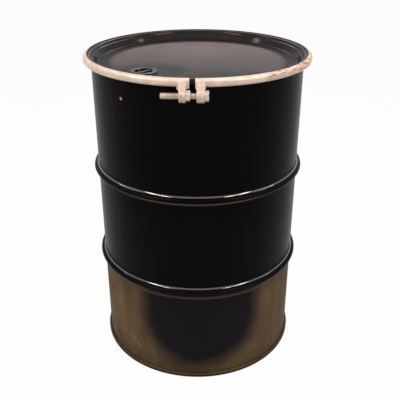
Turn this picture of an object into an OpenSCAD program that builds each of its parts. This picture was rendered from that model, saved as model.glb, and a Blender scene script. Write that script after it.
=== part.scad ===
// Open-head steel drum, 55 US gallons, with a stamped lid held down by a bolted
// clamp ring. Millimetres, +Z up, origin on the axis at the foot of the bottom
// chime. The gap in the clamp ring, with its lugs and bolt, faces -Y.

/* [Drum] */
// Overall height, from the bottom chime to the top edge of the clamp ring
drum_h = 890; // [700:1:1100]
// Inside diameter of the body
inner_d = 571.5; // [460:0.5:700]
// Thickness of the body sheet
body_sheet = 1.2; // [0.9:0.1:1.5]
// Thickness of the bottom sheet
bottom_sheet = 1.2; // [0.9:0.1:1.5]
// Height of the lower rolling hoop's middle
lower_hoop_z = 298; // [200:1:400]
// Height of the upper rolling hoop's middle
upper_hoop_z = 574; // [450:1:650]
// How far a rolling hoop stands out from the body
hoop_rise = 12; // [6:0.5:15]
// Half the width of a rolling hoop at its foot
hoop_half_w = 14; // [11:0.5:20]
// Radius of the hollow fillet on each side of a hoop
hoop_fillet_r = 7.4; // [4:0.1:8]

/* [Bottom seam] */
// Gap between the sheets in the rolled bottom seam
seam_gap = 0.1; // [0.05:0.01:0.3]
// Straight height of the rolled seam between its upper and lower bends
seam_straight = 5; // [3:0.5:10]
// Width of the flat that the chime stands on
chime_flat = 2; // [1:0.1:3]
// Depth of the bottom panel above the foot of the chime
bottom_depth = 20; // [17:0.5:40]
// Bend radius between the bottom panel and its upright wall
bottom_corner_r = 6; // [3:0.5:7]

/* [Body bead] */
// Radius of the rolled bead at the mouth, to the middle of the sheet
bead_r = 5.8; // [4.5:0.1:8]
// How far round the bead is rolled, in degrees
bead_turn = 300; // [240:1:320]

/* [Lid] */
// Thickness of the lid sheet
lid_sheet = 1.5; // [1:0.1:2]
// Depth of the middle of the lid below the top edge of the clamp ring
lid_depth = 28; // [26:0.5:40]
// Clearance between the lid's plug wall and the inside of the body
lid_slip = 0.65; // [0.4:0.05:2]
// Clearance between the body bead and the channel of the lid, at the sides
rim_gap = 1.2; // [0.8:0.1:3]
// Thickness of the squeezed gasket on top of the bead
gasket_t = 4.2; // [2:0.1:6]
// Width of the flat ledge around the middle panel
ledge_w = 20; // [8:1:40]
// Height of the ledge above the middle panel
ledge_rise = 2; // [1.5:0.1:4]

/* [Bung] */
// Distance from the drum axis to the bung axis
bung_pitch_r = 201.5; // [120:0.5:201.5]
// Direction of the bung, in degrees round from -Y towards -X
bung_angle = 39.7; // [20:0.1:340]
// Diameter of the raised boss around the bung
boss_d = 132; // [110:1:132]
// Diameter of the flat top of the boss
boss_flat_d = 86; // [82:1:96]
// Height of the boss above the middle panel
boss_rise = 3; // [2:0.1:5]
// Major diameter of the bung thread (2 inch pipe thread)
bung_thread_d = 59.6; // [48:0.1:59.6]
// Radial clearance of the bung thread, standing for the thread itself
thread_fit = 0.05; // [0.02:0.01:0.1]
// Diameter of the head of the plug
plug_head_d = 70; // [66:0.5:76]
// Thickness of the head of the plug
plug_head_t = 2.6; // [2:0.1:4]
// Length of the threaded skirt of the plug
plug_skirt = 15; // [10:0.5:20]
// Thickness of the squeezed plug gasket
plug_gasket_t = 1; // [0.8:0.1:2]
// Diameter of the spanner recess in the plug
recess_d = 46; // [38:0.5:48]
// Depth of the spanner recess in the plug
recess_depth = 9; // [6:0.5:11]
// Width of the cross bar in the spanner recess
bar_w = 9; // [6:0.5:12]
// Direction of the cross bar, in degrees from +X
bar_angle = 45; // [0:1:180]

/* [Clamp ring] */
// Thickness of the clamp ring's steel
ring_sheet = 2.6; // [2:0.1:3]
// Clearance between the edge of the lid and the web of the ring
ring_side_gap = 3.1; // [1.5:0.1:5]
// Slope of the ring's two legs, in degrees
ring_leg_slope = 15; // [8:1:20]
// Length of the straight part of each leg
ring_leg = 7; // [4:0.5:9]
// Bend radius between the legs and the web
ring_bend_r = 5.5; // [3:0.1:6]
// Open gap between the two ends of the ring
ring_opening = 13.7; // [8:0.1:20]

/* [Bolt and lugs] */
// Diameter of the bolt (5/8 inch)
bolt_d = 15.875; // [12:0.125:16]
// Length of the bolt under its head (4 inches)
bolt_len = 101.6; // [90:0.1:130]
// Width across the flats of the bolt head and the nut
hex_af = 23.8; // [20:0.1:26]
// Thickness of the bolt head
bolt_head_t = 9.9; // [8:0.1:12]
// Thickness of the lock nut
lock_nut_t = 10.6; // [6:0.1:12]
// Clearance hole in the plain lug (11/16 inch)
plain_hole_d = 17.5; // [17:0.1:19]
// Depth of the bolt axis below the top edge of the ring
bolt_drop = 38.2; // [37:0.1:50]
// How far the bolt axis stands out from the web of the ring
bolt_offset = 4.5; // [3:0.1:10]
// Radius of the rounded end of each lug, round the bolt
lug_eye_r = 15.5; // [13.5:0.1:16.5]
// Thickness of the threaded lug, along the bolt
threaded_lug_t = 15.8; // [12:0.1:20]
// Thickness of the plain lug, along the bolt
plain_lug_t = 18.4; // [12:0.1:22]
// Step from the end of the ring to the threaded lug's inner face
threaded_lug_step = 7.6; // [4:0.1:12]
// Step from the end of the ring to the plain lug's inner face
plain_lug_step = 3.4; // [2:0.1:12]
// Width of the threaded lug's foot on the ring
threaded_foot_w = 29; // [25:0.5:36]
// Width of the plain lug's foot on the ring
plain_foot_w = 24; // [23.5:0.5:30]
// Thickness of each lug's foot on the ring
lug_foot_t = 2.4; // [2:0.1:4]

/* [Hidden] */
$fn = 96;
bend_step = 9;      // degrees between the points of a bend
inner_r = inner_d/2;
seat_gap = 0.1;     // between curved faces that bear on each other
cut = 1;            // how far a cutting solid runs past what it cuts

// ---- bent sheet: a centre line of straight runs and bends ----
// A step is [length, 0] for a straight run or [radius, degrees] for a bend, positive to the
// left. The result is a list of [point, heading].
function left(h) = [-sin(h), cos(h)];
function sheet_line(p, h, steps, i = 0) =
    i == len(steps) ? [[p, h]] :
    steps[i][1] == 0 ?
        concat([[p, h]], sheet_line(p + steps[i][0]*[cos(h), sin(h)], h, steps, i + 1)) :
    let(turn = steps[i][1], r = steps[i][0]*sign(turn), n = ceil(abs(turn)/bend_step),
        c = p + r*left(h))
        concat([for (k = [0:n - 1]) [c - r*left(h + turn*k/n), h + turn*k/n]],
               sheet_line(c - r*left(h + turn), h + turn, steps, i + 1));
function sheet_side(line, off) = [for (q = line) q[0] + off*left(q[1])];
function reversed(list) = [for (i = [len(list) - 1:-1:0]) list[i]];
function sheet_outline(line, t) = concat(sheet_side(line, t/2), reversed(sheet_side(line, -t/2)));
function arc(c, r, from, to) =
    let(n = ceil(abs(to - from)/bend_step))
    [for (k = [0:n]) c + r*[cos(from + (to - from)*k/n), sin(from + (to - from)*k/n)]];
// Height and width that a bend covers between two headings
function bend_z(r, a, b) = r*abs(cos(a) - cos(b));
function bend_x(r, a, b) = r*abs(sin(a) - sin(b));

// ---- bottom seam: body and bottom rolled together, seven sheets thick ----
seam_sheet = max(body_sheet, bottom_sheet);
seam_pitch = seam_sheet + seam_gap;
wall_r = inner_r + body_sheet/2;                     // middle of the body sheet
seam_low_z = bottom_sheet/2 + 3*seam_pitch;          // centre of the lower bends
seam_high_z = seam_low_z + seam_straight;            // centre of the upper bends
chime_corner_r = 3*seam_pitch - chime_flat/2;
chime_corner_z = bottom_sheet/2 + chime_corner_r;
hook_end = seam_sheet;                               // how far a sheet's end stops short

// ---- rolling hoops: fillet, crest and fillet, tangent to each other ----
hoop_bend = 2*atan(hoop_rise/hoop_half_w);
hoop_crest_r = hoop_half_w/sin(hoop_bend) - hoop_fillet_r;
hoop_steps = [[hoop_fillet_r, -hoop_bend], [hoop_crest_r, 2*hoop_bend], [hoop_fillet_r, -hoop_bend]];

// ---- top closure, worked out from the ring's top edge downwards ----
bead_out_r = bead_r + body_sheet/2;
bead_c_r = wall_r + bead_r;                          // radius of the bead's centre
rim_in_r = bead_out_r + rim_gap;                     // channel of the lid, inside
rim_mid_r = rim_in_r + lid_sheet/2;
rim_out_r = rim_in_r + lid_sheet;
rim_c_r = inner_r - lid_slip + rim_in_r;             // radius of the channel's centre
ring_out_r = rim_c_r + rim_out_r + ring_side_gap + ring_sheet;
ring_web_r = ring_out_r - ring_sheet/2;
ring_lip_r = ring_web_r - ring_bend_r*(1 - sin(ring_leg_slope)) - ring_leg*cos(ring_leg_slope);
ring_lip_z = drum_h - ring_sheet/2*cos(ring_leg_slope);
leg_up = [sin(ring_leg_slope), cos(ring_leg_slope)];     // square to the upper leg
leg_down = [sin(ring_leg_slope), -cos(ring_leg_slope)];  // square to the lower leg
rim_z = (leg_up*[ring_lip_r, ring_lip_z] - ring_sheet/2 - seat_gap - rim_out_r
         - leg_up[0]*rim_c_r)/leg_up[1];
bead_z = rim_z + rim_in_r - gasket_t - bead_out_r;
ring_foot_z = (leg_down[0]*(ring_lip_r - bead_c_r) - leg_down[1]*bead_z - bead_out_r
               - seat_gap - ring_sheet/2)/cos(ring_leg_slope);
ring_web_h = ring_lip_z - ring_foot_z
             - 2*(ring_leg*sin(ring_leg_slope) + ring_bend_r*cos(ring_leg_slope));

// ---- lid section, from the middle panel out to the rim ----
step_r = 2;             // bends of the step between panel and ledge
step_lean = 40;         // slope of that step
wall_foot_r = 4;        // bend at the foot of the lower wall
wall_lean = 53;         // slope of the lower wall
shoulder_r = 3;         // bend over the shoulder
shoulder_lean = 25;     // slope of the shoulder
shoulder_run = 2;
rim_foot_r = 2;         // bend between shoulder and rim
rim_lean = 75;          // slope where the rim starts
rim_end = -110;         // heading at the lid's outer edge
panel_z = drum_h - lid_depth;                        // upper face of the middle panel
panel_mid_z = panel_z - lid_sheet/2;
rim_start = [rim_c_r, rim_z] + rim_mid_r*left(rim_lean);
step_run = (ledge_rise - 2*bend_z(step_r, 0, step_lean))/sin(step_lean);
lid_wall_run = (rim_start[1] - panel_mid_z - ledge_rise
                - bend_z(wall_foot_r, 0, wall_lean)
                - bend_z(shoulder_r, shoulder_lean, wall_lean)
                - shoulder_run*sin(shoulder_lean)
                - bend_z(rim_foot_r, shoulder_lean, rim_lean))/sin(wall_lean);
ledge_end_r = rim_start[0] - bend_x(rim_foot_r, shoulder_lean, rim_lean)
              - shoulder_run*cos(shoulder_lean)
              - bend_x(shoulder_r, shoulder_lean, wall_lean)
              - lid_wall_run*cos(wall_lean) - bend_x(wall_foot_r, 0, wall_lean);
ledge_start_r = ledge_end_r - ledge_w;
panel_r = ledge_start_r - 2*bend_x(step_r, 0, step_lean) - step_run*cos(step_lean);

// ---- bung, from the top of the boss ----
bung_r = min(bung_pitch_r, panel_r + 1 - boss_flat_d/2);   // keeps the boss's flat on the panel
bung_at = bung_r*[-sin(bung_angle), -cos(bung_angle)];
boss_z = panel_z + boss_rise;
boss_sink = 0.5;                                     // how far the boss's foot runs into the panel
bung_bore_r = bung_thread_d/2 + thread_fit;
neck_wall = 2.8;
neck_r = bung_bore_r + neck_wall;
neck_hole_gap = 0.1;                                 // between neck and lid
neck_lip = 2;                                        // how far the neck is rolled over the lid
neck_lip_t = 1.6;
neck_top_z = boss_z + neck_lip_t;
flange_gasket_t = 1.1;
flange_gasket_w = 5;
flange_base_af = 2*neck_r + 14;                      // eight-sided base under the lid
flange_base_t = 3;
flange_base_top = boss_z - lid_sheet - flange_gasket_t;
flange_depth = plug_skirt + 2;                       // thread goes on below the plug
plug_seat_z = neck_top_z + plug_gasket_t;            // underside of the plug's head
plug_top_z = plug_seat_z + plug_head_t;
plug_floor_t = 2.4;
plug_wall = 3;
bar_drop = 1.5;                                      // bar and lugs below the top of the plug
spanner_lug_w = 8;
spanner_lug_l = 6;
plug_edge = 0.8;                                     // chamfer on the plug's head

// ---- lugs and bolt, set out from the ends of the ring ----
bolt_y = -(ring_out_r + bolt_offset);
bolt_z = drum_h - bolt_drop;
bolt_r = bolt_d/2;
ring_end = ring_opening/2;
threaded_face = -(ring_end + threaded_lug_step);     // lug faces that look at each other
plain_face = ring_end + plain_lug_step;
bolt_seat = plain_face + plain_lug_t;                // underside of the bolt's head
hex_chamfer = 1.2;
bolt_tip = 1.5;                                      // chamfer at the tip of the bolt
weld_gap = 0.05;                                     // between a lug and the ring
lug_top_drop = 5;                                    // top of the foot below the ring's top
lug_foot_drop = 3;                                   // straight side of the foot below the web
lug_foot_slope = 6;                                  // height of the foot's sloping outer side

module revolved(points) { rotate_extrude($fn = 180) polygon(points); }

// Body sheet, from its end inside the bottom seam up to the rolled bead
shell_line = sheet_line([wall_r + 2*seam_pitch, seam_low_z + hook_end], 90, concat(
    [[seam_straight - hook_end, 0], [seam_pitch, -180], [seam_straight, 0],
     [2*seam_pitch, -180], [lower_hoop_z - hoop_half_w - seam_low_z, 0]],
    hoop_steps, [[upper_hoop_z - lower_hoop_z - 2*hoop_half_w, 0]],
    hoop_steps, [[bead_z - upper_hoop_z - hoop_half_w, 0], [bead_r, -bead_turn]]));
module shell() { color([0.06, 0.06, 0.07]) revolved(sheet_outline(shell_line, body_sheet)); }

// Bottom sheet, from the axis out, down and round the seam to its end in the middle
bottom_wall_r = wall_r - seam_pitch;
bottom_mid_z = bottom_depth - bottom_sheet/2;
bottom_line = sheet_line([0, bottom_mid_z], 0,
    [[bottom_wall_r - bottom_corner_r, 0], [bottom_corner_r, -90],
     [bottom_mid_z - bottom_corner_r - chime_corner_z, 0],
     [chime_corner_r, 90], [chime_flat, 0], [chime_corner_r, 90],
     [seam_high_z - chime_corner_z, 0], [2*seam_pitch, 180], [seam_straight, 0],
     [seam_pitch, 180], [seam_straight - hook_end, 0]]);
module bottom_head() {
    color([0.07, 0.07, 0.08]) revolved(sheet_outline(bottom_line, bottom_sheet));
}

// Sealing compound squeezed out where the bottom leaves the body, inside the drum
sealant_low = 15;       // where the compound starts and ends round the bottom's bend
sealant_high = 60;
sealant_climb = 1.5;    // how much higher it stands on the body
module seam_sealant() {
    c = [bottom_wall_r - bottom_corner_r, bottom_mid_z - bottom_corner_r];
    r = bottom_corner_r + bottom_sheet/2 + seat_gap/2;
    wall = inner_r - seat_gap/2;
    color([0.35, 0.2, 0.12]) revolved(concat(arc(c, r, sealant_low, sealant_high),
        [[wall, c[1] + r*sin(sealant_high) + sealant_climb], [wall, c[1] + r*sin(sealant_low)]]));
}

// Section of the boss's upper face from its axis to its foot, let down by drop
boss_points = 8;
function boss_face(foot_r, drop) = let(top_r = boss_flat_d/2)
    concat([[0, boss_z - drop]], [for (k = [0:boss_points])
        [top_r + (foot_r - top_r)*k/boss_points,
         panel_z - boss_sink - drop + (boss_rise + boss_sink)*(1 + cos(180*k/boss_points))/2]]);

lid_line = sheet_line([0, panel_mid_z], 0,
    [[panel_r, 0], [step_r, step_lean], [step_run, 0], [step_r, -step_lean], [ledge_w, 0],
     [wall_foot_r, wall_lean], [lid_wall_run, 0], [shoulder_r, shoulder_lean - wall_lean],
     [shoulder_run, 0], [rim_foot_r, rim_lean - shoulder_lean], [rim_mid_r, rim_end - rim_lean]]);
module lid() {
    foot_r = boss_d/2;
    cut_r = foot_r - cut;
    low = panel_z - 4*lid_sheet;
    color([0.16, 0.16, 0.17]) difference() {
        union() {
            difference() {
                revolved(sheet_outline(lid_line, lid_sheet));
                translate(bung_at)
                    revolved(concat(boss_face(cut_r, lid_sheet/2), [[cut_r, low], [0, low]]));
            }
            translate(bung_at)
                revolved(concat(boss_face(foot_r, 0), reversed(boss_face(foot_r, lid_sheet))));
        }
        translate(concat(bung_at, low)) cylinder(r = neck_r + neck_hole_gap, h = 2*lid_depth);
    }
}

// Rubber in the channel of the lid, squeezed down on the bead
gasket_low = 20;        // where the rubber starts and ends round the bead
gasket_high = 150;
module lid_gasket() {
    color([0.12, 0.12, 0.12]) revolved(concat(
        arc([rim_c_r, rim_z], rim_in_r - seat_gap, gasket_low, gasket_high),
        arc([bead_c_r, bead_z], bead_out_r + seat_gap, gasket_high, gasket_low)));
}

// Forged neck under the lid, its top rolled over the edge of the hole
module bung_flange() {
    low_z = plug_seat_z - flange_depth;
    color([0.6, 0.6, 0.6]) translate(bung_at) difference() {
        union() {
            translate([0, 0, low_z]) cylinder(r = neck_r, h = neck_top_z - low_z);
            translate([0, 0, boss_z]) cylinder(r = neck_r + neck_lip, h = neck_lip_t);
            translate([0, 0, flange_base_top - flange_base_t]) rotate(180/8)
                cylinder(r = flange_base_af/2/cos(180/8), h = flange_base_t, $fn = 8);
        }
        translate([0, 0, low_z - cut]) cylinder(r = bung_bore_r, h = neck_top_z - low_z + 2*cut);
    }
}

module flange_gasket() {
    color([0.1, 0.1, 0.1]) translate(concat(bung_at, flange_base_top)) difference() {
        cylinder(r = neck_r + neck_hole_gap + flange_gasket_w, h = flange_gasket_t);
        translate([0, 0, -cut])
            cylinder(r = neck_r + neck_hole_gap, h = flange_gasket_t + 2*cut);
    }
}

// Cup-shaped plug with a cross bar and two spanner lugs in its recess
module bung_plug() {
    head_r = plug_head_d/2;
    skirt_r = bung_thread_d/2;
    recess_r = recess_d/2;
    skirt_z = plug_seat_z - plug_skirt;
    floor_z = plug_top_z - recess_depth;
    grip_h = recess_depth - bar_drop;
    color([0.14, 0.14, 0.15]) translate(bung_at) {
        revolved([[0, floor_z - plug_floor_t], [skirt_r - plug_wall, floor_z - plug_floor_t],
                  [skirt_r - plug_wall, skirt_z], [skirt_r, skirt_z], [skirt_r, plug_seat_z],
                  [head_r, plug_seat_z], [head_r, plug_top_z - plug_edge],
                  [head_r - plug_edge, plug_top_z], [recess_r, plug_top_z],
                  [recess_r, floor_z], [0, floor_z]]);
        intersection() {
            translate([0, 0, floor_z]) cylinder(r = recess_r + plug_wall/2, h = grip_h);
            translate([0, 0, floor_z - plug_floor_t/2]) rotate(bar_angle) union() {
                translate([-head_r, -bar_w/2, 0]) cube([2*head_r, bar_w, recess_depth]);
                for (side = [-1, 1])
                    translate([-spanner_lug_w/2, side*recess_r - spanner_lug_l, 0])
                        cube([spanner_lug_w, 2*spanner_lug_l, recess_depth]);
            }
        }
    }
}

module plug_gasket() {
    color([0.1, 0.1, 0.1]) translate(concat(bung_at, neck_top_z)) difference() {
        cylinder(r = plug_head_d/2 - plug_edge, h = plug_gasket_t);
        translate([0, 0, -cut])
            cylinder(r = bung_bore_r, h = plug_gasket_t + 2*cut);
    }
}

// Clamp ring: a bent channel that grips the lid's rim and the body bead together
ring_line = sheet_line([ring_lip_r, ring_lip_z], -ring_leg_slope,
    [[ring_leg, 0], [ring_bend_r, ring_leg_slope - 90], [ring_web_h, 0],
     [ring_bend_r, ring_leg_slope - 90], [ring_leg, 0]]);
module closing_ring() {
    color([0.78, 0.75, 0.7]) difference() {
        revolved(sheet_outline(ring_line, ring_sheet));
        translate([-ring_end, -2*ring_out_r, 0]) cube([ring_opening, 2*ring_out_r, 2*drum_h]);
    }
}

// Lug forged to the ring: a rounded eye round the bolt and a wider foot on the web.
// face is where its inner face lies, side is the way it runs from there, t its thickness,
// foot_w the width of its foot and slope the height of the foot's sloping outer side.
module lug(face, side, t, hole_r, foot_w, slope) {
    foot_front = ring_out_r + lug_foot_t;
    foot_top = drum_h - lug_top_drop;
    foot_low = drum_h - 2*(drum_h - ring_lip_z) - ring_web_h - 2*ring_bend_r - lug_foot_drop;
    inner_y = bolt_y + lug_eye_r;
    body_x = side > 0 ? face : face - t;
    color([0.76, 0.73, 0.68]) difference() {
        union() {
            translate([body_x, 0, 0]) rotate([90, 0, 90]) linear_extrude(t) union() {
                translate([bolt_y, bolt_z]) circle(r = lug_eye_r);
                polygon([[bolt_y - lug_eye_r, bolt_z], [inner_y, bolt_z],
                         [inner_y, foot_top], [-foot_front, foot_top]]);
            }
            translate([0, inner_y, 0]) rotate([90, 0, 0]) linear_extrude(inner_y + foot_front)
                polygon([[face, foot_low], [face + side*t, foot_low - slope],
                         [side*(ring_end + foot_w), foot_low], [side*(ring_end + foot_w), foot_top],
                         [side*ring_end, foot_top], [side*ring_end, foot_low]]);
        }
        revolved(sheet_side(ring_line, ring_sheet/2 + weld_gap));
        translate([body_x - t, bolt_y, bolt_z]) rotate([0, 90, 0]) cylinder(r = hole_r, h = 3*t);
    }
}
module threaded_lug() {
    lug(threaded_face, -1, threaded_lug_t, bolt_r + thread_fit, threaded_foot_w, lug_foot_slope);
}
module plain_lug() { lug(plain_face, 1, plain_lug_t, plain_hole_d/2, plain_foot_w, 0); }

// Hexagon along +X with a corner up, its outer end chamfered
module hexagon(t) {
    corner_r = hex_af/2/cos(30);
    rotate([0, 90, 0]) intersection() {
        cylinder(r = corner_r, h = t, $fn = 6);
        revolved([[0, 0], [corner_r, 0], [corner_r, t - hex_chamfer/2],
                  [hex_af/2 - hex_chamfer, t], [0, t]]);
    }
}

module ring_bolt() {
    color([0.74, 0.7, 0.64]) translate([bolt_seat, bolt_y, bolt_z]) {
        hexagon(bolt_head_t);
        rotate([0, -90, 0]) revolved([[0, -cut], [bolt_r, -cut], [bolt_r, bolt_len - bolt_tip],
                                      [bolt_r - bolt_tip, bolt_len], [0, bolt_len]]);
    }
}

module lock_nut() {
    color([0.74, 0.7, 0.64]) translate([threaded_face, bolt_y, bolt_z]) difference() {
        hexagon(lock_nut_t);
        translate([-cut, 0, 0]) rotate([0, 90, 0])
            cylinder(r = bolt_r + thread_fit, h = lock_nut_t + 2*cut);
    }
}

shell();
bottom_head();
seam_sealant();
lid();
lid_gasket();
bung_flange();
flange_gasket();
bung_plug();
plug_gasket();
closing_ring();
threaded_lug();
plain_lug();
ring_bolt();
lock_nut();
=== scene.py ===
import math
import bmesh
import bpy
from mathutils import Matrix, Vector


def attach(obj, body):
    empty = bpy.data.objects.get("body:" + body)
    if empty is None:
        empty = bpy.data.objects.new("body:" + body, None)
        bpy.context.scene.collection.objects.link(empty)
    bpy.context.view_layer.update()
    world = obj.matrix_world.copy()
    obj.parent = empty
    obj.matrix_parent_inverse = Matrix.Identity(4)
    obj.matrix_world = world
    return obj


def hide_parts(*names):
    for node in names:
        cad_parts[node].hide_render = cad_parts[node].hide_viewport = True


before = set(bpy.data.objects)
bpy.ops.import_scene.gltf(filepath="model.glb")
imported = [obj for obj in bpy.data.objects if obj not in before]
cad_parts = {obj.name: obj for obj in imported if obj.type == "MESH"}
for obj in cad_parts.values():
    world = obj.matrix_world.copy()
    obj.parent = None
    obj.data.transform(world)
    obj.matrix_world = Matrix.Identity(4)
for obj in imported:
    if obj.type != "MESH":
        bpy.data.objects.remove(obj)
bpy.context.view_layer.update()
mm = 0.001  # the values below are in millimetres, the scene in metres
print("frame loaded:", len(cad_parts), "nodes")


def deselectAll():
    if bpy.context.object and bpy.context.object.mode != "OBJECT":
        bpy.ops.object.mode_set(mode="OBJECT")
    bpy.ops.object.select_all(action="DESELECT")


def makeActive(piece, mode="OBJECT"):
    deselectAll()
    piece.select_set(True)
    bpy.context.view_layer.objects.active = piece
    bpy.ops.object.mode_set(mode=mode)
    if mode == "EDIT":
        bpy.ops.mesh.select_mode(type="VERT")


def placeInMesh(piece):  # the object goes to the origin and its place into its mesh
    makeActive(piece)
    bpy.ops.object.transform_apply(location=True, rotation=True, scale=True)


def newPrimitive(name, kind, **settings):
    deselectAll()
    getattr(bpy.ops.mesh, "primitive_" + kind + "_add")(**settings)
    piece = bpy.context.object
    piece.name = piece.data.name = name
    placeInMesh(piece)
    return piece


def pickVertices(piece, test):  # edit mode: selects the vertices that pass the test
    bpy.ops.mesh.select_mode(type="VERT")
    bpy.ops.mesh.select_all(action="DESELECT")
    mesh = bmesh.from_edit_mesh(piece.data)
    for vertex in mesh.verts:
        vertex.select_set(test(vertex))
    bmesh.update_edit_mesh(piece.data)


def shapeWith(piece, kind, **settings):
    makeActive(piece)
    bpy.ops.object.modifier_add(type=kind)
    modifier = piece.modifiers[-1]
    for key, value in settings.items():
        setattr(modifier, key, value)
    bpy.ops.object.modifier_apply(modifier=modifier.name)


def combine(piece, tool, operation):
    shapeWith(piece, "BOOLEAN", object=tool, operation=operation, solver="EXACT")
    bpy.data.objects.remove(tool)


def thicken(piece, sheet):  # the drawn section is the middle of the sheet
    shapeWith(piece, "SOLIDIFY", thickness=sheet * mm, offset=0, use_even_offset=True)


def softenEdges(piece, width, segments=2, sharperThan=50):
    shapeWith(piece, "BEVEL", width=width * mm, segments=segments, limit_method="ANGLE",
              angle_limit=math.radians(sharperThan))


def mergeDoubles():  # edit mode
    bpy.ops.mesh.select_all(action="SELECT")
    bpy.ops.mesh.remove_doubles(threshold=0.01 * mm)


def tidyMesh(piece):  # doubles first, then outward faces
    makeActive(piece, "EDIT")
    mergeDoubles()
    bpy.ops.mesh.normals_make_consistent(inside=False)
    bpy.ops.object.mode_set(mode="OBJECT")


def drawLine(name, points):  # one vertex pulled along the points
    piece = newPrimitive(name, "plane", size=mm)
    makeActive(piece, "EDIT")
    bpy.ops.mesh.select_all(action="SELECT")
    bpy.ops.mesh.merge(type="CENTER")
    bpy.ops.transform.translate(value=Vector(points[0]) * mm)
    for here, there in zip(points, points[1:]):
        pull = (Vector(there) - Vector(here)) * mm
        bpy.ops.mesh.extrude_vertices_move(TRANSFORM_OT_translate={"value": pull})
    bpy.ops.object.mode_set(mode="OBJECT")
    return piece


def bentLine(start, heading, steps, bendStep, runStep):
    # a section in radius and height: [length, 0] is a run, [radius, degrees] a bend
    line = [tuple(start)]
    for size, turn in steps:
        if turn:
            parts = max(2, math.ceil(abs(turn) / bendStep))
            pull = 2 * size * math.sin(math.radians(abs(turn)) / parts / 2)
        else:
            parts = max(1, round(size / runStep))
            pull = size / parts
        for part in range(parts):
            angle = math.radians(heading + (part + 0.5) * turn / parts)
            line.append((line[-1][0] + pull * math.cos(angle), line[-1][1] + pull * math.sin(angle)))
        heading += turn
    return line


def spinLine(name, line, steps, centre=(0, 0), startAngle=0, sweep=360):
    # draws a section of radius and height beside the centre, then spins it round
    angle = math.radians(startAngle)
    piece = drawLine(name, [(centre[0] + radius * math.cos(angle), centre[1] + radius * math.sin(angle), z)
                            for radius, z in line])
    makeActive(piece, "EDIT")
    bpy.ops.mesh.select_all(action="SELECT")
    bpy.ops.mesh.spin(steps=steps, angle=math.radians(sweep), axis=(0, 0, 1),
                      center=(centre[0] * mm, centre[1] * mm, 0))
    tidyMesh(piece)
    return piece


def screwLine(name, points, pitch, turns, steps):  # winds a section up the Z axis and closes its ends
    piece = drawLine(name, points)
    shapeWith(piece, "SCREW", axis="Z", angle=2 * math.pi, screw_offset=pitch * mm, iterations=turns,
              steps=steps, render_steps=steps, use_merge_vertices=False)
    makeActive(piece, "EDIT")
    mergeDoubles()
    bpy.ops.mesh.fill_holes(sides=0)
    tidyMesh(piece)
    return piece


def solidOutline(name, points, pull):  # a closed outline, filled and pulled into a block
    piece = drawLine(name, points)
    makeActive(piece, "EDIT")
    pickVertices(piece, lambda vertex: len(vertex.link_edges) == 1)
    bpy.ops.mesh.edge_face_add()
    bpy.ops.mesh.select_all(action="SELECT")
    bpy.ops.mesh.edge_face_add()
    bpy.ops.mesh.select_mode(type="FACE")
    bpy.ops.mesh.select_all(action="SELECT")
    bpy.ops.mesh.extrude_region_move(TRANSFORM_OT_translate={"value": Vector(pull) * mm})
    tidyMesh(piece)
    return piece


def layAlongX(piece, place):  # turns a piece built along Z to point along +X
    piece.rotation_euler = (0, math.pi / 2, 0)
    piece.location = Vector(place) * mm
    placeInMesh(piece)


def finishPiece(piece, body, finish, node, smoothUnder=35):
    placeInMesh(piece)
    bpy.ops.object.shade_smooth_by_angle(angle=math.radians(smoothUnder))
    piece.data.materials.clear()
    piece.data.materials.append(finish)
    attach(piece, body)
    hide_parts(node)
    print("made", piece.name, "with", len(piece.data.polygons), "faces")


def blankTree(owner):
    owner.use_nodes = True
    owner.node_tree.nodes.clear()
    return owner.node_tree


def addNode(tree, kind, settings, *values):  # any node: its settings first, then its sockets in order
    node = tree.nodes.new(kind)
    for key, value in settings.items():
        setattr(node, key, value)
    for socket, value in zip([s for s in node.inputs if s.enabled], values):
        if isinstance(value, Wire):
            tree.links.new(value.socket, socket)
        elif value is not None:
            socket.default_value = value
    return [Wire(socket) for socket in node.outputs if socket.enabled]


class Wire:  # one output socket, so that shader maths is written as Python sums

    def __init__(self, socket):
        self.socket = socket

    def add(self, kind, settings, *values, out=0):
        return addNode(self.socket.id_data, kind, settings, *values)[out]

    def maths(self, operation, *values):
        return self.add("ShaderNodeMath", {"operation": operation}, *values)

    def __add__(self, other):
        return self.maths("ADD", self, other)

    def __radd__(self, other):
        return self.maths("ADD", other, self)

    def __sub__(self, other):
        return self.maths("SUBTRACT", self, other)

    def __rsub__(self, other):
        return self.maths("SUBTRACT", other, self)

    def __mul__(self, other):
        return self.maths("MULTIPLY", self, other)

    def __rmul__(self, other):
        return self.maths("MULTIPLY", other, self)

    def __truediv__(self, other):
        return self.maths("DIVIDE", self, other)

    def __pow__(self, other):
        return self.maths("POWER", self, other)

    def __abs__(self):
        return self.maths("ABSOLUTE", self)

    def atMost(self, other):
        return self.maths("MINIMUM", self, other)

    def atLeast(self, other):
        return self.maths("MAXIMUM", self, other)

    def over(self, low, high):  # 0 below low, 1 above high, eased between
        return self.add("ShaderNodeMapRange", {"interpolation_type": "SMOOTHSTEP"}, self, low, high, 0, 1)

    def under(self, low, high):  # 1 below low, 0 above high
        return 1 - self.over(low, high)

    def within(self, start, full, fade, end):  # 1 from full to fade, 0 before start and after end
        return self.over(start, full) * self.under(fade, end)

    def colour(self, low, high):  # this value mixes two colours
        shades = [shade if isinstance(shade, Wire) else (*shade, 1) for shade in (low, high)]
        return self.add("ShaderNodeMix", {"data_type": "RGBA"}, self, *shades)

    def noise(self, scale, detail, rough):
        return self.add("ShaderNodeTexNoise", {}, self, scale, detail, rough)

    def stretched(self, x, y, z):  # this vector with its three parts scaled
        return self.add("ShaderNodeVectorMath", {"operation": "MULTIPLY"}, self, (x, y, z))

    def bump(self, strength, distance, below=None):  # this height, over the coarser bumps below it
        return self.add("ShaderNodeBump", {}, strength, distance, None, self, below)


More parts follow.
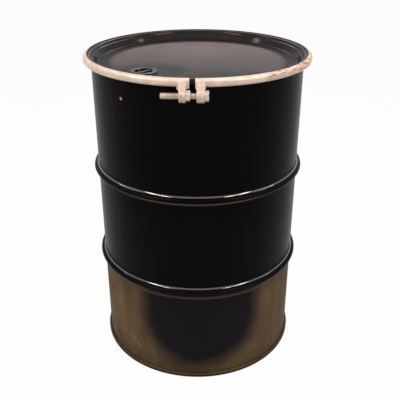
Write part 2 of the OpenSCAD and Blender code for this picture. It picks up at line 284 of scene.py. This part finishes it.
def newFinish(name, **constants):  # a material, its shader node and the place on the object
    finish = bpy.data.materials.new(name)
    tree = blankTree(finish)
    output = tree.nodes.new("ShaderNodeOutputMaterial")
    shader = tree.nodes.new("ShaderNodeBsdfPrincipled")
    tree.links.new(shader.outputs[0], output.inputs[0])
    for socket, value in constants.items():
        shader.inputs[socket.replace("_", " ")].default_value = value
    place = Wire(tree.nodes.new("ShaderNodeTexCoord").outputs["Object"])
    return finish, shader, place


def feed(shader, **wires):  # links what changes over the surface
    for socket, wire in wires.items():
        shader.id_data.links.new(wire.socket, shader.inputs[socket.replace("_", " ")])


def split(place):  # the three parts of a place, in millimetres
    return [place.add("ShaderNodeSeparateXYZ", {}, place, out=part) * 1000 for part in range(3)]


def distance(x, y):
    return (x * x + y * y) ** 0.5


def degreesRound(x, y):  # from the front at -Y towards +X
    return x.maths("ARCTAN2", x, 0 - y) * (180 / math.pi)


studio = {
    "cameraPlace": (0.0632, -1.6154, 1.2370),
    "cameraTurn": (math.pi / 2 - 0.4606, 0, 0.0349),
    "lens": 53.28,
    "lampsAim": (0, 0, 0.5),
    # direction round from -Y, height above the floor, distance, width, height, power, colour
    "lamps": {
        "keyLeft": (-50, 34, 2.6, 0.36, 1.4, 27, (1, 0.78, 0.66)),
        "keyRight": (55, 34, 2.6, 0.36, 1.4, 25, (1, 0.78, 0.66)),
        "highLeft": (-50, 60, 2.6, 0.24, 0.5, 14, (1, 0.80, 0.68)),
        "highRight": (53, 60, 2.6, 0.24, 0.5, 14, (1, 0.80, 0.68)),
        "overhead": (0, 84, 2.8, 1.6, 1.6, 2, (1, 0.97, 0.95)),
        "sideLeft": (-101, 46, 2.8, 0.2, 1.0, 9, (1, 0.86, 0.76)),
        "sideRight": (101, 46, 2.8, 0.2, 1.0, 9, (1, 0.86, 0.76)),
        "behind": (176, 40, 3.0, 1.4, 0.8, 18, (1, 0.97, 0.95)),
    },
    "worldLevel": 0.20,      # what matt surfaces get; the camera and glossy surfaces see plain white
    "floorSize": 60,
    "floorColour": (0.80, 0.79, 0.78),
    "floorWhite": 0.965,     # share of plain white in the floor as seen, the rest keeps the shadow
}


def makeCamera():
    camera = bpy.data.objects.new("camera", bpy.data.cameras.new("camera"))
    bpy.context.scene.collection.objects.link(camera)
    camera.location = studio["cameraPlace"]
    camera.rotation_euler = studio["cameraTurn"]
    camera.data.lens = studio["lens"]
    bpy.context.scene.camera = camera


def makeLamp(name, around, height, away, width, length, power, colour):
    turn, rise = math.radians(around), math.radians(height)
    back = Vector((math.sin(turn) * math.cos(rise), -math.cos(turn) * math.cos(rise), math.sin(rise)))
    light = bpy.data.lights.new(name, "AREA")
    light.shape = "RECTANGLE"
    light.size = width
    light.size_y = length
    light.energy = power
    light.color = colour
    lamp = bpy.data.objects.new(name, light)
    bpy.context.scene.collection.objects.link(lamp)
    lamp.location = Vector(studio["lampsAim"]) + back * away
    lamp.rotation_euler = (-back).to_track_quat("-Z", "Y").to_euler()


def seenDirect(tree):  # 1 for what is seen by the camera, in gloss or through something clear
    rays = {wire.socket.name: wire for wire in addNode(tree, "ShaderNodeLightPath", {})}
    return rays["Is Camera Ray"].atLeast(rays["Is Glossy Ray"]).atLeast(rays["Is Transmission Ray"])


def makeWorld():
    world = bpy.data.worlds.new("studioWorld")
    bpy.context.scene.world = world
    tree = blankTree(world)
    level = seenDirect(tree) * (1 - studio["worldLevel"]) + studio["worldLevel"]
    glow = addNode(tree, "ShaderNodeBackground", {}, (1, 1, 1, 1), level)
    addNode(tree, "ShaderNodeOutputWorld", {}, glow[0])


def makeFloor():
    floor = newPrimitive("studioFloor", "plane", size=studio["floorSize"])
    finish = bpy.data.materials.new("floorFinish")
    tree = blankTree(finish)
    matt = addNode(tree, "ShaderNodeBsdfDiffuse", {}, (*studio["floorColour"], 1))
    white = addNode(tree, "ShaderNodeEmission", {}, (1, 1, 1, 1), 1)
    share = seenDirect(tree) * studio["floorWhite"]
    blend = addNode(tree, "ShaderNodeMixShader", {}, share, matt[0], white[0])
    addNode(tree, "ShaderNodeOutputMaterial", {}, blend[0])
    floor.data.materials.append(finish)


bpy.context.scene.view_settings.view_transform = "Standard"
makeCamera()
for lampName, lampValues in studio["lamps"].items():
    makeLamp(lampName, *lampValues)
makeWorld()
makeFloor()
print("studio ready")


bodyPaint = {
    "black": (0.0022, 0.0012, 0.0014),
    "bluishTintAndReflection": (0.0022, 0.0032, 0.0048),
    "reflectionDark": (0.070, 0.049, 0.028),
    "reflectionLight": (0.166, 0.128, 0.078),
    "reflectionTop": 284,              # the painted brown floor reflection starts right under the lower hoop
    "patch": (0.0082, 0.0079, 0.0110),
    "patchAngle": 4,             # the painted dark reflection patch in the brown reflection, a little right of the clamp
    "patchHalfWidth": 36.5,
    "patchShoulder": 225,
    "patchDepth": 203,
    "patchEdge": (0.76, 1.20),
    # painted reflection lines at the foot of each hoop: start, full, fade and end heights, strength
    "footReflections": [(270, 275, 277, 284, 0.75), (556, 561, 564, 570, 0.40)],
    "footReflectionColour": (0.085, 0.064, 0.046),
    # scuffs: start round the body and height, fall, length, half width, strength
    "scuffs": [(-292, 124, -0.50, 128, 5.5, 0.42), (-262, 150, -0.9, 70, 4.0, 0.3),
               (-205, 108, -1.7, 34, 5.0, 0.5), (-286, 92, -0.34, 60, 3.2, 0.3)],
    "scuffColour": (0.25, 0.20, 0.135),
    "chipPlace": (-192.4, 817.8),
    "chipColour": (0.38, 0.28, 0.20),
    "seamAngle": -45.5,
    "rust": (0.10, 0.036, 0.016),
    "chimeRust": (0.020, 0.008, 0.005),
}


def enamelFinish():
    paint = bodyPaint
    finish, shader, place = newFinish("bodyEnamel", Specular_IOR_Level=0.03, Coat_Roughness=0.10,
                                      Coat_IOR=2.0)
    x, y, z = split(place)
    radius = distance(x, y)
    angle = degreesRound(x, y)
    run = angle * 5.01                                    # millimetres round the body
    along = place.add("ShaderNodeCombineXYZ", {}, angle * 0.005, 0, z * 0.00016)
    streak = along.noise(30, 4, 0.6)                      # faint upright streaks
    cloud = place.noise(9, 4, 0.55)
    fine = place.noise(140, 3, 0.6)
    wave = place.noise(5, 2, 0.5)

    # painted reflection of a brown floor low on the drum, with a painted dark reflection patch in it
    aside = (angle - paint["patchAngle"]) / paint["patchHalfWidth"]
    below = ((paint["patchShoulder"] - z) / paint["patchDepth"]).atLeast(0)
    reach = distance(aside, below) + (cloud - 0.5) * 0.16
    floorReflection = z.under(paint["reflectionTop"] - 3, paint["reflectionTop"] + 5) * reach.over(*paint["patchEdge"])
    floorReflection = floorReflection * (0.92 + 0.16 * streak)
    brown = (cloud * 0.5 + streak * 0.25 + fine * 0.25).over(0.3, 0.7)
    brown = brown.colour(paint["reflectionDark"], paint["reflectionLight"])
    # the painted reflection is darker near the bottom and beside the dark patch
    dimmerReflection = z.under(10, 110) * 0.5 + reach.under(1.15, 1.75) * z.over(60, 130) * 0.45
    brown = dimmerReflection.atMost(1).colour(brown, paint["reflectionDark"])

    # a cloudy bluish tone at random over the rest, plus a painted bluish reflection low in the middle band
    dustAndReflection = cloud.over(0.35, 0.75) * 0.3 + z.under(480, 590) * 0.6
    base = dustAndReflection.atMost(1).colour(paint["black"], paint["bluishTintAndReflection"])
    # below the lower hoop the paint takes the patch colour, a painted dark reflection left showing inside
    # the patch
    base = z.under(272, 282).colour(base, paint["patch"])
    # painted floor reflection in the lower side of each hoop
    footReflection = 0
    for *heights, strength in paint["footReflections"]:
        footReflection = z.within(*heights) * strength + footReflection
    base = (footReflection * (0.6 + 0.6 * cloud)).colour(base, paint["footReflectionColour"])
    base = floorReflection.atMost(1).colour(base, brown)

    # scuffs on the lower left, a chip and the welded side seam
    scuff = 0
    for startRun, startZ, fall, length, halfWidth, strength in paint["scuffs"]:
        ahead = run - startRun
        off = abs(z - startZ - ahead * fall) / math.hypot(1, fall)
        stroke = off.under(halfWidth * 0.3, halfWidth) * ahead.within(0, 14, length - 20, length)
        scuff = stroke * strength * fine.over(0.30, 0.55) + scuff
    base = scuff.atMost(1).colour(base, paint["scuffColour"])
    chipRun, chipZ = paint["chipPlace"]
    chip = (distance(run - chipRun, z - chipZ) + (fine - 0.5) * 5).under(3.2, 5.2)
    base = chip.colour(base, paint["chipColour"])
    seam = abs(angle - paint["seamAngle"]).under(0.06, 0.34)

    # rust where the paint rubs through: hoop crests, the chime and under the bead
    crest = radius.over(296.5, 298.8) + z.under(4, 13) * 0.9 + z.over(846, 866) * 0.35
    speck = place.noise(75, 5, 0.65)
    rusty = (crest.atMost(1) * (speck + cloud * 0.35).over(0.79, 0.92)).atMost(1)
    stray = place.noise(48, 4, 0.6).over(0.70, 0.76) * cloud.over(0.5, 0.62) * 0.3
    rusty = (rusty + stray).atMost(1)
    base = (rusty * 0.8).colour(base, paint["rust"])
    base = (z.under(4, 13) * 0.9).colour(base, paint["chimeRust"])

    roughness = 0.24 + 0.08 * wave + floorReflection * 0.34 + rusty * 0.3 + scuff * 0.2 + dustAndReflection * 0.05
    height = fine * 0.12 + rusty * 0.5 - chip * 1.0 + seam * 1.2 + streak * 0.06
    dent = place.noise(14, 1, 0.4)
    hollow = radius.within(287.1, 287.6, 289.2, 290.4) * z.over(30, 40)
    polish = hollow * (1 - rusty)                         # thick wet-looking paint beside the hoops
    feed(shader, Base_Color=base, Roughness=roughness, Coat_Weight=polish,
         Normal=height.bump(0.35, 0.0006, dent.bump(0.10, 0.004)))
    return finish


bungPlace = (-128.712, -155.034)  # X and Y of the bung, for the lid, its finish and the plug

lidPaint = {
    "dark": (0.0085, 0.0070, 0.0070),
    "dustAndSheen": (0.185, 0.162, 0.184),
    "wall": (0.0030, 0.0020, 0.0018),
    "panelRadius": 246,
    "darkReflectionPlace": (-112, -118),  # a painted dark reflection, a darker crescent behind the bung
    "darkReflectionReach": (48, 112),
    "grit": (0.14, 0.12, 0.115),
    "rust": (0.10, 0.045, 0.025),
}


def lidFinish():
    paint = lidPaint
    finish, shader, place = newFinish("lidEnamel", Specular_IOR_Level=0.02, Coat_Roughness=0.10,
                                      Coat_IOR=1.65)
    x, y, _ = split(place)
    radius = distance(x, y)
    cloud = place.noise(7, 4, 0.55)
    fine = place.noise(120, 4, 0.6)
    wipe = place.stretched(1, 0.35, 1).noise(16, 4, 0.6)
    back = y.over(-215, 215)                              # painted reflection: the dust colour grows towards the back
    bungAway = distance(x - bungPlace[0], y - bungPlace[1])
    flat = radius.under(paint["panelRadius"] - 20, paint["panelRadius"] + 3) * bungAway.over(34, 46)
    darkReflection = distance(x - paint["darkReflectionPlace"][0], y - paint["darkReflectionPlace"][1]).under(*paint["darkReflectionReach"])
    # real dust at random, plus a painted lighter reflection towards the back and a painted dark reflection
    # behind the bung
    dustAndReflection = 0.04 + 0.80 * back + (cloud - 0.5) * 0.45 + (wipe - 0.5) * 0.35 - darkReflection * 0.22
    dustAndReflection = (dustAndReflection * (0.06 + 0.94 * flat)).atLeast(0).atMost(1)
    base = flat.colour(paint["wall"], paint["dark"])
    base = dustAndReflection.colour(base, paint["dustAndSheen"])
    grit = place.noise(420, 2, 0.5).over(0.63, 0.72) * 0.25
    base = (grit * flat).colour(base, paint["grit"])
    speck = (place.noise(60, 5, 0.65) + radius.over(283, 300) * 0.10).over(0.70, 0.76) * 0.7
    base = speck.colour(base, paint["rust"])
    roughness = 0.22 + 0.30 * dustAndReflection + 0.06 * fine + speck * 0.2
    polish = radius.over(262, 272) * (1 - speck) * 0.15 + bungAway.under(34, 37) * 0.3
    wave = place.noise(6, 2, 0.4)
    feed(shader, Base_Color=base, Roughness=roughness, Coat_Weight=polish,
         Normal=(fine * 0.3 + speck * 0.5).bump(0.22, 0.0005, wave.bump(0.16, 0.006)))
    return finish


zincCoat = {
    "bright": (0.71, 0.625, 0.57),
    "dull": (0.54, 0.465, 0.415),
    "stain": (0.44, 0.33, 0.235),
    "rust": (0.30, 0.125, 0.052),
    "innerEdgeRed": (0.055, 0.016, 0.010),
    "roughness": 0.42,
    "metal": 0.45,
}


def galvanisedFinish():
    zinc = zincCoat
    finish, shader, place = newFinish("galvanised", Specular_IOR_Level=0.35)
    x, y, z = split(place)
    angle = degreesRound(x, y)
    spangle = place.add("ShaderNodeTexVoronoi", {}, place, 190, out=1)
    flake = spangle.add("ShaderNodeSeparateColor", {}, spangle)
    cloud = place.noise(26, 4, 0.6)
    along = place.add("ShaderNodeCombineXYZ", {}, angle * 0.002, 0, z * 0.004)
    drawn = along.noise(90, 4, 0.65)                      # marks drawn along the ring
    base = (flake * 0.18 + cloud * 0.82).over(0.25, 0.75).colour(zinc["dull"], zinc["bright"])

    # tan stains and rust, heaviest on the right of the front and round the lugs
    right = angle.within(14, 40, 64, 96) + 0.22
    lugs = abs(x).under(22, 44) * z.under(846, 872) * y.under(-306, -290)
    low = z.under(866, 876)
    stain = drawn.over(0.48, 0.62) * right * 0.8 + cloud.over(0.45, 0.62) * (lugs * 0.75 + low * 0.2)
    stain = stain.atMost(1)
    # painted shade: a darker line round the ring's middle, off the lugs, plus a faint stain low on the lugs
    midShadeAndLowStain = abs(z - 873).under(0.5, 1.9) * (1 - lugs) * 0.2 + z.under(855, 866) * 0.06
    base = (stain + midShadeAndLowStain).atMost(1).colour(base, zinc["stain"])
    drawnRust = drawn.over(0.49, 0.57) * angle.within(32, 42, 66, 82) * 0.9
    spotRust = place.noise(150, 4, 0.6).over(0.58, 0.66) * (lugs * 0.9 + low * 0.15 + 0.05)
    edge = distance(x, y).under(296.4, 298.2) * z.over(876, 880)  # dark red along the ring's inner edge, where it meets the lid
    rusty = ((drawnRust + spotRust).atMost(1) + edge).atMost(1)
    base = (rusty * 0.85).colour(base, zinc["rust"])
    base = edge.colour(base, zinc["innerEdgeRed"])
    roughness = zinc["roughness"] + 0.10 * flake + 0.16 * stain + 0.25 * rusty
    metal = zinc["metal"] - rusty * 0.4 - stain * 0.2
    grain = place.noise(320, 3, 0.6)
    feed(shader, Base_Color=base, Roughness=roughness, Metallic=metal,
         Normal=(grain * 0.4 + flake * 0.1 + drawn * 0.5 - rusty * 0.4).bump(0.3, 0.0004))
    return finish


plating = {
    "bright": (0.68, 0.61, 0.53),
    "dull": (0.50, 0.44, 0.37),
    "rust": (0.23, 0.11, 0.055),
    "roughness": 0.30,
}


def platedFinish():
    finish, shader, place = newFinish("platedSteel", Metallic=1.0)
    x, _, z = split(place)
    cloud = place.noise(60, 4, 0.6)
    fine = place.noise(260, 4, 0.65)
    base = (cloud * 0.6 + fine * 0.4).over(0.35, 0.65).colour(plating["dull"], plating["bright"])
    head = x.over(26, 30) * z.under(838, 850)             # the lower half of the bolt's head has rusted
    rusty = (fine + head * 0.22).over(0.60, 0.70) + z.under(839, 844) * cloud.over(0.45, 0.6) * 0.6
    rusty = rusty.atMost(1)
    base = (rusty * 0.85).colour(base, plating["rust"])
    roughness = plating["roughness"] + 0.10 * cloud + 0.3 * rusty
    feed(shader, Base_Color=base, Roughness=roughness, Metallic=1 - rusty * 0.75,
         Normal=(fine * 0.5 - rusty * 0.3).bump(0.3, 0.0003))
    return finish


softGoods = {  # dark and light colour, roughness, scale of the mottling
    "blackRubber": ((0.010, 0.010, 0.010), (0.028, 0.027, 0.026), 0.6, 60),
    "seamCompound": ((0.09, 0.045, 0.022), (0.16, 0.085, 0.045), 0.5, 45),
}


def softFinish(name):
    dark, light, roughness, scale = softGoods[name]
    finish, shader, place = newFinish(name, Specular_IOR_Level=0.3)
    cloud = place.noise(scale, 4, 0.6)
    grain = place.noise(scale * 9, 3, 0.6)
    feed(shader, Base_Color=(cloud * 0.7 + grain * 0.3).over(0.3, 0.7).colour(dark, light),
         Roughness=roughness + 0.15 * grain, Normal=(grain * 0.6 + cloud).bump(0.3, 0.0004))
    return finish


enamel = enamelFinish()
lidEnamel = lidFinish()
galvanised = galvanisedFinish()
plated = platedFinish()
rubber = softFinish("blackRubber")
compound = softFinish("seamCompound")
for nodeName, nodeFinish in (("seam_sealant", compound), ("lid_gasket", rubber), ("bung_flange", plated),
                             ("flange_gasket", rubber), ("plug_gasket", rubber)):
    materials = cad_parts[nodeName].data.materials
    materials.clear()
    materials.append(nodeFinish)
print("finishes ready")


hoop = [[7.4, -81.2026], [6.7667, 162.4052], [7.4, -81.2026]]

bodyShape = {
    "sheet": 1.2,
    "wallRadius": 286.35,
    "start": (288.95, 5.7),
    "steps": [[3.8, 0], [1.3, -180], [5, 0], [2.6, -180], [279.5, 0], *hoop, [248, 0], *hoop,
              [287.587, 0], [5.8, -300]],
    # dents: degrees round from -Y, height, reach and depth
    "dents": [(-50, 104, 46, 1.6), (-35, 80, 30, 1.1), (24, 62, 40, 0.7), (118, 420, 70, 1.4),
              (-150, 190, 60, 1.3), (170, 700, 80, 1.2)],
}


def pressDent(body, around, height, reach, depth):
    turn = math.radians(around)
    inward = Vector((-math.sin(turn), math.cos(turn), 0))
    spot = -inward * bodyShape["wallRadius"] * mm + Vector((0, 0, height * mm))
    makeActive(body, "EDIT")
    pickVertices(body, lambda vertex: (vertex.co - spot).length < 9 * mm)
    bpy.ops.transform.translate(value=inward * depth * mm, use_proportional_edit=True,
                                proportional_edit_falloff="SMOOTH", proportional_size=reach * mm)
    bpy.ops.object.mode_set(mode="OBJECT")


def makeBody():
    body = spinLine("drumBody", bentLine(bodyShape["start"], 90, bodyShape["steps"], 7, 14), 160)
    for dent in bodyShape["dents"]:
        pressDent(body, *dent)
    thicken(body, bodyShape["sheet"])
    finishPiece(body, "drum", enamel, "shell")


bottomShape = {
    "sheet": 1.2,
    "start": (0, 19.4),
    "steps": [[279.05, 0], [6, -90], [9.9, 0], [2.9, 90], [2, 0], [2.9, 90], [6.0, 0],
              [2.6, 180], [5, 0], [1.3, 180], [3.8, 0]],
}


def makeBottom():
    pan = spinLine("bottomPan", bentLine(bottomShape["start"], 0, bottomShape["steps"], 12, 28), 160)
    thicken(pan, bottomShape["sheet"])
    finishPiece(pan, "drum", enamel, "bottom_head")


lidShape = {
    "sheet": 1.5,
    "start": (0, 861.25),
    "steps": [[243.889, 0], [2, 40], [1.6556, 0], [2, -40], [20, 0], [4, 53], [16.0923, 0], [3, -28],
              [2, 0], [2, 50], [8.35, -185]],
    "panelTop": 862,
    "bossTop": 865,              # the flat raised boss round the bung
    "bossFlat": 43,
    "bossFoot": 66,
    "bossRows": 12,
    "hole": 32.75,
}


def bossLine():  # the upper face of the boss, from the hole over its flat down to its foot
    shape = lidShape
    line = [(shape["hole"] + out, shape["bossTop"]) for out in (-2, 2, 6, 10)]
    foot = shape["panelTop"] - 0.5                        # a little under the panel, to join it
    for row in range(shape["bossRows"] + 1):
        share = row / shape["bossRows"]
        radius = shape["bossFlat"] + (shape["bossFoot"] - shape["bossFlat"]) * share
        line.append((radius, foot + (shape["bossTop"] - foot) * (1 + math.cos(math.pi * share)) / 2))
    return line


def makeLid():
    shape = lidShape
    lid = spinLine("lidPressing", bentLine(shape["start"], 0, shape["steps"], 8, 9), 192)
    thicken(lid, shape["sheet"])
    top = bossLine()
    under = [(radius, z - shape["sheet"] * 0.9) for radius, z in reversed(top)]
    boss = spinLine("lidBoss", top + under + top[:1], 128, bungPlace)
    combine(lid, boss, "UNION")
    hole = newPrimitive("lidHole", "cylinder", vertices=128, radius=shape["hole"] * mm, depth=40 * mm,
                        location=(bungPlace[0] * mm, bungPlace[1] * mm, shape["panelTop"] * mm))
    combine(lid, hole, "DIFFERENCE")
    finishPiece(lid, "drum", lidEnamel, "lid")


ringShape = {
    "sheet": 2.6,
    "start": (295.237, 888.744),
    "heading": -15,
    "steps": [[7, 0], [5.5, -70], [35.08, -10], [5.5, -70], [7, 0]],
    "gapHalfAngle": 1.28,        # the split at the front, between the lugs
}


def makeRing():
    shape = ringShape
    line = bentLine(shape["start"], shape["heading"], shape["steps"], 7, 2.5)
    ring = spinLine("clampRing", line, 288, startAngle=-90 - shape["gapHalfAngle"],
                    sweep=360 - 2 * shape["gapHalfAngle"])
    thicken(ring, shape["sheet"])
    softenEdges(ring, 0.35)
    finishPiece(ring, "drum", galvanised, "closing_ring")


boltPlace = (-312.0, 851.8)  # Y and Z of the bolt, for the lugs, the bolt and the nut

lugShape = {
    "eyeRadius": 15.5,
    "footFront": -309.9,
    "innerY": -296.5,
    "footTop": 885,
    "footLow": 867.37,
    "ringLow": 866.9,            # under here the lug reaches in below the ring
    "ringOut": 307.3,
    "boreEdge": 1.6,
    "voxel": 0.75,
    "smooth": 7,
    # name, node, inner face, outer face, foot from, foot to, slope of the foot's outer side, bore
    "lugs": [("lugLeft", "threaded_lug", -14.45, -30.25, -6.85, -35.85, 6, 8.1),
             ("lugRight", "plain_lug", 10.25, 28.65, 6.85, 30.85, 0, 8.75)],
}


def makeLug(name, node, faceIn, faceOut, footIn, footOut, slope, bore):
    shape = lugShape
    eye, inner, front = shape["eyeRadius"], shape["innerY"], shape["footFront"]
    low, top = shape["footLow"], shape["footTop"]
    boltY, boltZ = boltPlace
    middle, thick = (faceIn + faceOut) / 2, abs(faceOut - faceIn)
    lug = newPrimitive(name, "cylinder", vertices=72, radius=eye * mm, depth=thick * mm,
                       location=(middle * mm, boltY * mm, boltZ * mm), rotation=(0, math.pi / 2, 0))
    left = min(faceIn, faceOut)
    web = solidOutline("lugWeb", [(left, boltY - eye, boltZ), (left, inner, boltZ), (left, inner, top),
                                  (left, front, top)], (thick, 0, 0))
    combine(lug, web, "UNION")
    outline = [(faceIn, low), (faceOut, low - slope), (footOut, low), (footOut, top), (footIn, top),
               (footIn, low)]
    foot = solidOutline("lugFoot", [(x, inner, z) for x, z in outline], (0, front - inner, 0))
    combine(lug, foot, "UNION")
    ring = newPrimitive("ringSpace", "cylinder", vertices=360, radius=shape["ringOut"] * mm, depth=60 * mm,
                        location=(0, 0, (shape["ringLow"] + 30) * mm))
    combine(lug, ring, "DIFFERENCE")
    shapeWith(lug, "REMESH", mode="VOXEL", voxel_size=shape["voxel"] * mm)
    shapeWith(lug, "SMOOTH", factor=0.5, iterations=shape["smooth"])
    edge, half = shape["boreEdge"], thick / 2
    hole = spinLine("lugBore", [(0, -40), (bore + edge, -40), (bore + edge, -half), (bore, -half + edge),
                                (bore, half - edge), (bore + edge, half), (bore + edge, 40), (0, 40)], 72)
    layAlongX(hole, (middle, boltY, boltZ))
    combine(lug, hole, "DIFFERENCE")
    finishPiece(lug, "drum", galvanised, node, 40)


boltShape = {
    "radius": 7.9375,
    "root": 6.75,
    "pitch": 2.309,
    "under": 28.65,              # X of the underside of the head
    "length": 101.6,
    "tip": 1.5,
    "acrossFlats": 23.8,
    "headThick": 9.9,
    "nutThick": 10.6,
    "nutFace": -14.45,
    "nutBore": 8.05,
    "cornerFall": 1.4,           # how far down the cone meets the corners
    "faceRadius": 11.42,         # of the round face that the cone leaves
}


def hexBlock(name, thick, bothEnds):  # a hexagon along Z from 0, its ends turned to a cone
    shape = boltShape
    corner = shape["acrossFlats"] / 2 / math.cos(math.pi / 6)
    block = newPrimitive(name, "cylinder", vertices=6, radius=corner * mm, depth=thick * mm,
                         location=(0, 0, thick / 2 * mm), rotation=(0, 0, math.pi / 6))
    softenEdges(block, 0.3)
    face, fall, out = shape["faceRadius"], shape["cornerFall"], corner + 0.3
    tip = face - (out - face) / fall                      # the cone's radius 1 mm beyond a face
    low = [(0, -1), (tip, -1), (out, fall)] if bothEnds else [(0, -1), (out, -1)]
    cone = spinLine(name + "Cone", low + [(out, thick - fall), (tip, thick + 1), (0, thick + 1)], 96,
                    startAngle=1.3)
    combine(block, cone, "INTERSECT")
    return block


def threadRod(name, root, crest, pitch, low, high):  # a screw thread along Z, longer than low to high
    turns = math.ceil((high - low) / pitch) + 2
    tooth = [(root, 0), (crest - 0.12, 0.36), (crest, 0.43), (crest, 0.51), (crest - 0.12, 0.58),
             (root, 0.94), (root, 1)]
    line = [(radius, 0, low - pitch + share * pitch) for radius, share in tooth]
    return screwLine(name, line, pitch, turns, 28)


def makeBolt():
    shape = boltShape
    end, tip, out = -shape["length"], shape["tip"], shape["radius"] + 0.01
    bolt = threadRod("ringBoltPiece", shape["root"], shape["radius"], shape["pitch"], end, 2)
    outline = [(0, end), (shape["radius"] - tip, end), (out, end + tip), (out, 1), (0, 1)]
    blank = spinLine("boltBlank", outline, 84)            # the shank with its bevelled tip
    combine(bolt, blank, "INTERSECT")
    head = hexBlock("boltHead", shape["headThick"], False)
    combine(bolt, head, "UNION")
    layAlongX(bolt, (shape["under"], *boltPlace))
    finishPiece(bolt, "ring_bolt", plated, "ring_bolt", 30)


def makeNut():
    bore, thick = boltShape["nutBore"], boltShape["nutThick"]
    nut = hexBlock("lockNutPiece", thick, True)
    outline = [(0, -2), (bore + 2.4, -2), (bore + 0.9, -0.01), (bore, 0.9), (bore, thick - 0.9),
               (bore + 0.9, thick + 0.01), (bore + 2.4, thick + 2), (0, thick + 2)]
    hole = spinLine("nutBore", outline, 72)               # cut 2 mm past each face
    combine(nut, hole, "DIFFERENCE")
    layAlongX(nut, (boltShape["nutFace"], *boltPlace))
    finishPiece(nut, "lock_nut", plated, "lock_nut", 30)


plugShape = {
    "top": 870.2,
    "headRadius": 35,
    "headThick": 2.6,
    "skirtRoot": 28.95,
    "skirtCrest": 29.78,
    "skirtLength": 15,
    "pitch": 2.2087,
    "threadTurns": 5,
    "wallInner": 26.8,
    "recess": 23,
    "recessDepth": 9,
    "floor": 2.4,
    "barWidth": 9,
    "barTurn": 45,
    "gripDrop": 1.5,
    "spannerLug": (20.5, 8, 7.5),  # its place out from the centre, length and width
}


def makePlug():
    shape = plugShape
    bungX, bungY = bungPlace
    wall, root, rim, recess = shape["wallInner"], shape["skirtRoot"], shape["headRadius"], shape["recess"]
    top = shape["top"]
    floor = top - shape["recessDepth"]
    under = floor - shape["floor"]
    seat = top - shape["headThick"]
    skirt = seat - shape["skirtLength"]
    line = [(0, under), (wall - 1.5, under), (wall, under - 1.5), (wall, skirt), (root - 0.5, skirt),
            (root, skirt + 0.5), (root, seat), (rim, seat), (rim, top - 0.9), (rim - 0.3, top - 0.3),
            (rim - 0.9, top), (recess + 1.2, top), (recess + 0.3, top - 0.4), (recess, top - 1.2),
            (recess - 0.2, floor + 1.5), (recess - 1.6, floor), (12, floor), (0, floor)]
    cup = spinLine("bungPlugPiece", line, 96, bungPlace)

    # the bar across the recess, then a spanner lug on each side of it
    turn = math.radians(shape["barTurn"])
    lugOut, lugLong, lugWide = shape["spannerLug"]
    grips = [(0, 2 * recess + 3, shape["barWidth"], turn)]
    grips += [(side * lugOut, lugLong, lugWide, turn + math.pi / 2) for side in (-1, 1)]
    high, low = top - shape["gripDrop"], floor - shape["floor"] / 2
    for out, long, wide, away in grips:
        middle = (bungX + out * math.cos(away), bungY + out * math.sin(away), (high + low) / 2)
        grip = newPrimitive("plugGrip", "cube", size=1, location=Vector(middle) * mm, rotation=(0, 0, away),
                            scale=(long * mm, wide * mm, (high - low) * mm))
        softenEdges(grip, 1.1, 3, 30)
        combine(cup, grip, "UNION")

    inner, crest = root - 0.3, shape["skirtCrest"]
    tooth = [(inner, 0, skirt + 0.9), (crest, 0, skirt + 1.75), (inner, 0, skirt + 2.6),
             (inner, 0, skirt + 0.9)]
    ridge = screwLine("plugThread", tooth, shape["pitch"], shape["threadTurns"], 72)
    ridge.location = (bungX * mm, bungY * mm, 0)
    placeInMesh(ridge)
    combine(cup, ridge, "UNION")
    finishPiece(cup, "bung_plug", lidEnamel, "bung_plug", 32)


makeBody()
makeBottom()
makeLid()
makeRing()
for lugValues in lugShape["lugs"]:
    makeLug(*lugValues)
makeBolt()
makeNut()
makePlug()
